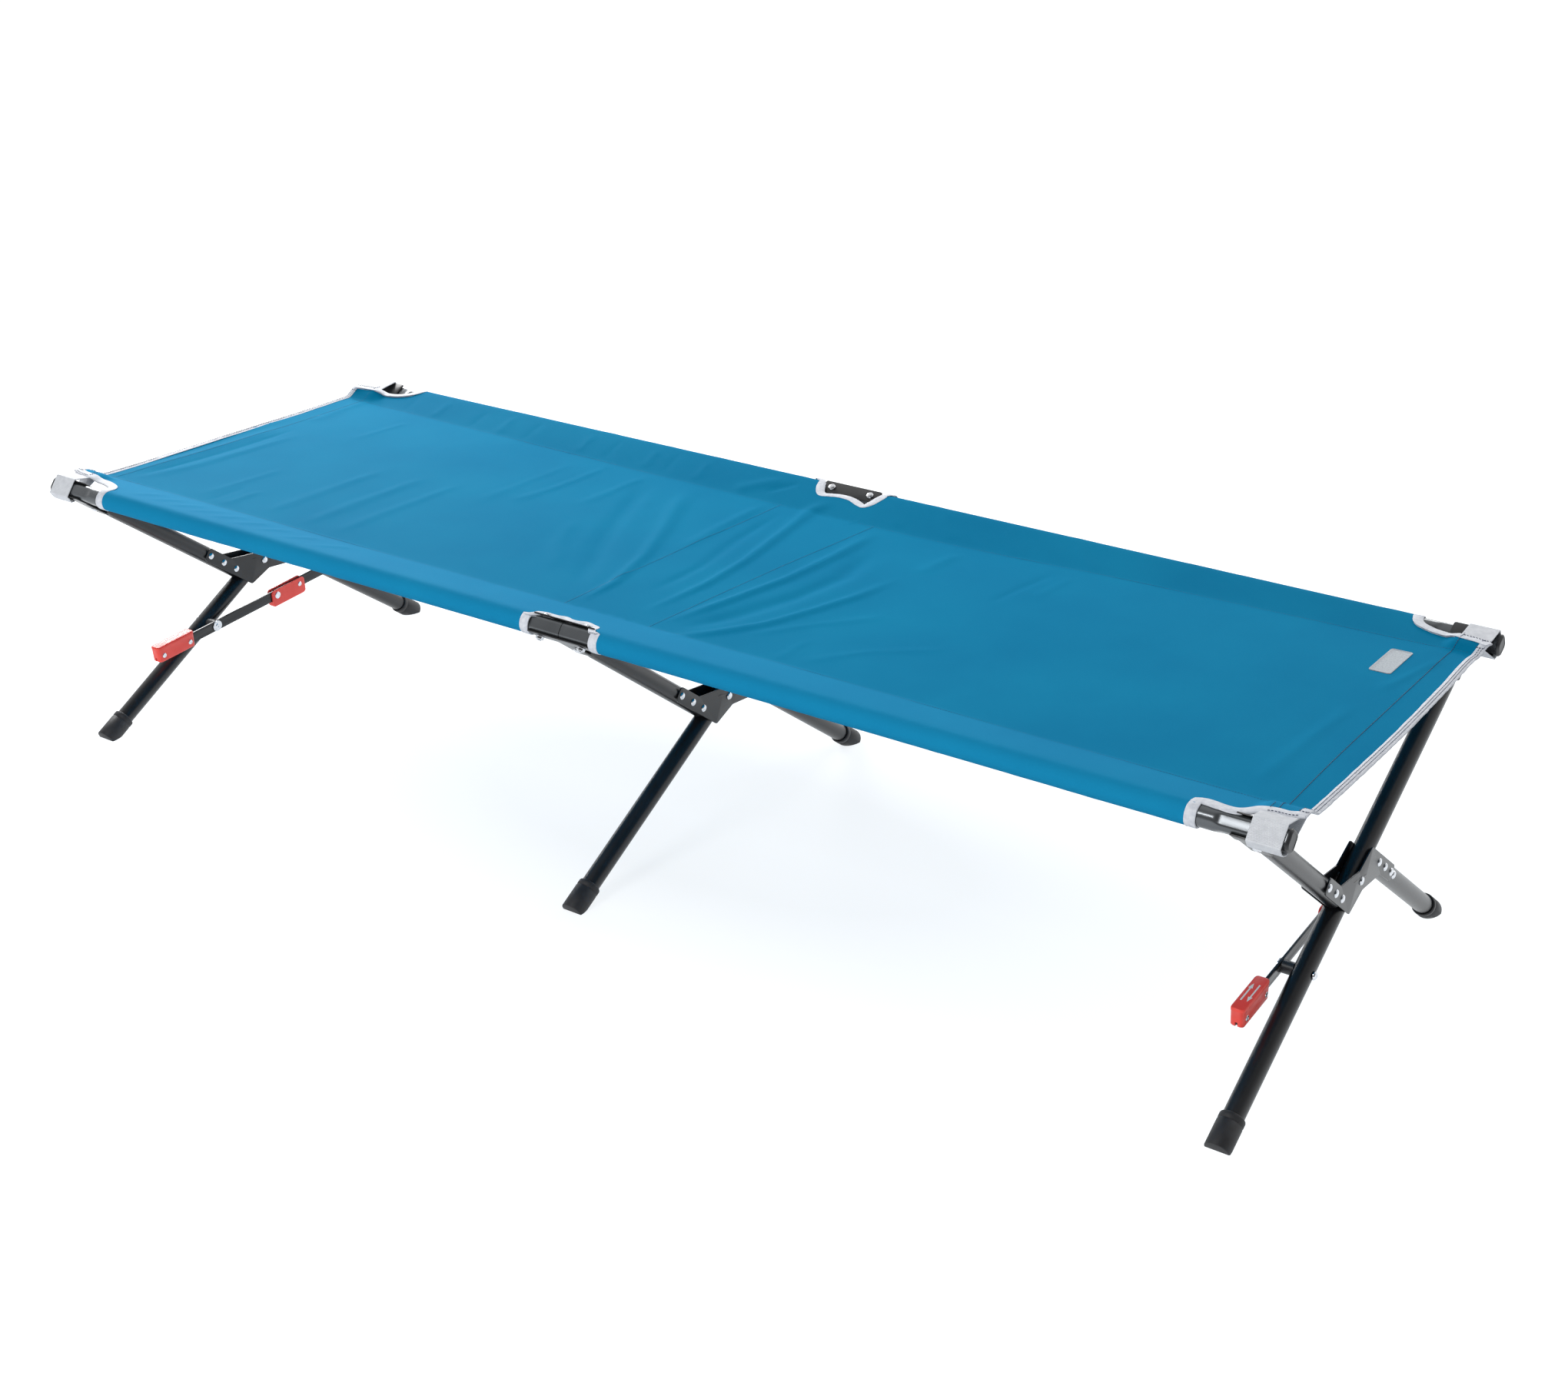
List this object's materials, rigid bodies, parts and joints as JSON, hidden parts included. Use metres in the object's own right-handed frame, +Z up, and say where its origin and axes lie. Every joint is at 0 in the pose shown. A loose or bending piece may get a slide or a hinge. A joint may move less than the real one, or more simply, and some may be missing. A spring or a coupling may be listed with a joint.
{
  "type": "camp bed",
  "caption": "Folding camp bed: a cloth stretched between side rails on crossed tube legs, held open by locking levers.",
  "frame": {"origin": "on the floor, under the middle of the bed", "axes": "+X along the bed to the end nearest the camera, -Y the long side nearest the camera, +Z up"},
  "size_m": [1.9, 0.6912, 0.4088],
  "materials": {
    "rail_enamel": "satin dark grey",
    "leg_powder_coat": "satin black",
    "zinc_fixings": "bright zinc plate",
    "black_rubber": "matte",
    "black_plastic": "matte moulded",
    "red_nylon": "fine moulded grain",
    "blue_cloth": "plain weave polyester",
    "grey_webbing": "ribbed webbing"
  },
  "bodies": {
    "back_side": {"back_rail_left": "rail_enamel", "back_plug_left": "black_plastic", "back_hinge_bolt_left": "zinc_fixings", "back_fork_left": "leg_powder_coat", "back_fork_rivet_left": "zinc_fixings", "back_strap_left": "grey_webbing", "back_rail_right": "rail_enamel", "back_plug_right": "black_plastic", "back_hinge_bolt_right": "zinc_fixings", "back_fork_right": "leg_powder_coat", "back_fork_rivet_right": "zinc_fixings", "back_strap_right": "grey_webbing", "back_hinge_plate_upper": "leg_powder_coat", "back_hinge_plate_lower": "leg_powder_coat", "leg_a_left": "leg_powder_coat", "front_foot_left": "black_rubber", "leg_a_middle": "leg_powder_coat", "front_foot_middle": "black_rubber", "leg_a_right": "leg_powder_coat", "front_foot_right": "black_rubber", "canvas": "blue_cloth", "lever_bolt_left": "zinc_fixings", "lever_bolt_right": "zinc_fixings"},
    "front_side": {"front_rail_left": "rail_enamel", "front_plug_left": "black_plastic", "front_hinge_bolt_left": "zinc_fixings", "front_fork_left": "leg_powder_coat", "front_fork_rivet_left": "zinc_fixings", "front_strap_left": "grey_webbing", "front_rail_right": "rail_enamel", "front_plug_right": "black_plastic", "front_hinge_bolt_right": "zinc_fixings", "front_fork_right": "leg_powder_coat", "front_fork_rivet_right": "zinc_fixings", "front_strap_right": "grey_webbing", "front_hinge_plate_upper": "leg_powder_coat", "front_hinge_plate_lower": "leg_powder_coat", "leg_b_upper_left": "leg_powder_coat", "leg_b_lower_left": "leg_powder_coat", "back_foot_left": "black_rubber", "cross_bracket_left": "leg_powder_coat", "pivot_rivet_left": "zinc_fixings", "leg_b_upper_middle": "leg_powder_coat", "leg_b_lower_middle": "leg_powder_coat", "back_foot_middle": "black_rubber", "cross_bracket_middle": "leg_powder_coat", "pivot_rivet_middle": "zinc_fixings", "leg_b_upper_right": "leg_powder_coat", "leg_b_lower_right": "leg_powder_coat", "back_foot_right": "black_rubber", "cross_bracket_right": "leg_powder_coat", "pivot_rivet_right": "zinc_fixings"},
    "lever_left": {"lever_bar_left": "leg_powder_coat", "lever_handle_left": "red_nylon"},
    "link_left": {"link_bar_left": "leg_powder_coat", "knuckle_cover_left": "red_nylon"},
    "lever_right": {"lever_bar_right": "leg_powder_coat", "lever_handle_right": "red_nylon"},
    "link_right": {"link_bar_right": "leg_powder_coat", "knuckle_cover_right": "red_nylon"}
  },
  "joints": [
    {"name": "fold", "type": "hinge", "parent": "back_side", "child": "front_side", "pos_m": [0, 0, 0.195], "axis": [-1, 0, 0], "range_deg": [0, 104], "deforming": ["canvas"]},
    {"name": "lever_left_swing", "type": "hinge", "parent": "back_side", "child": "lever_left", "pos_m": [-0.904, -0.11799, 0.1242], "axis": [-1, 0, 0], "range_deg": [0, 116.6]},
    {"name": "link_left_swing", "type": "hinge", "parent": "lever_left", "child": "link_left", "pos_m": [-0.904, 0.00738, 0.13678], "axis": [1, 0, 0], "range_deg": [0, 152.85]},
    {"name": "lever_right_swing", "type": "hinge", "parent": "back_side", "child": "lever_right", "pos_m": [0.904, -0.11799, 0.1242], "axis": [-1, 0, 0], "range_deg": [0, 116.6]},
    {"name": "link_right_swing", "type": "hinge", "parent": "lever_right", "child": "link_right", "pos_m": [0.904, 0.00738, 0.13678], "axis": [1, 0, 0], "range_deg": [0, 152.85]}
  ],
  "couplings": [
    {"joint": "lever_left_swing", "follows": "fold", "ratio": 1.1211},
    {"joint": "link_left_swing", "follows": "fold", "ratio": 1.4696},
    {"joint": "lever_right_swing", "follows": "fold", "ratio": 1.1211},
    {"joint": "link_right_swing", "follows": "fold", "ratio": 1.4696}
  ]
}
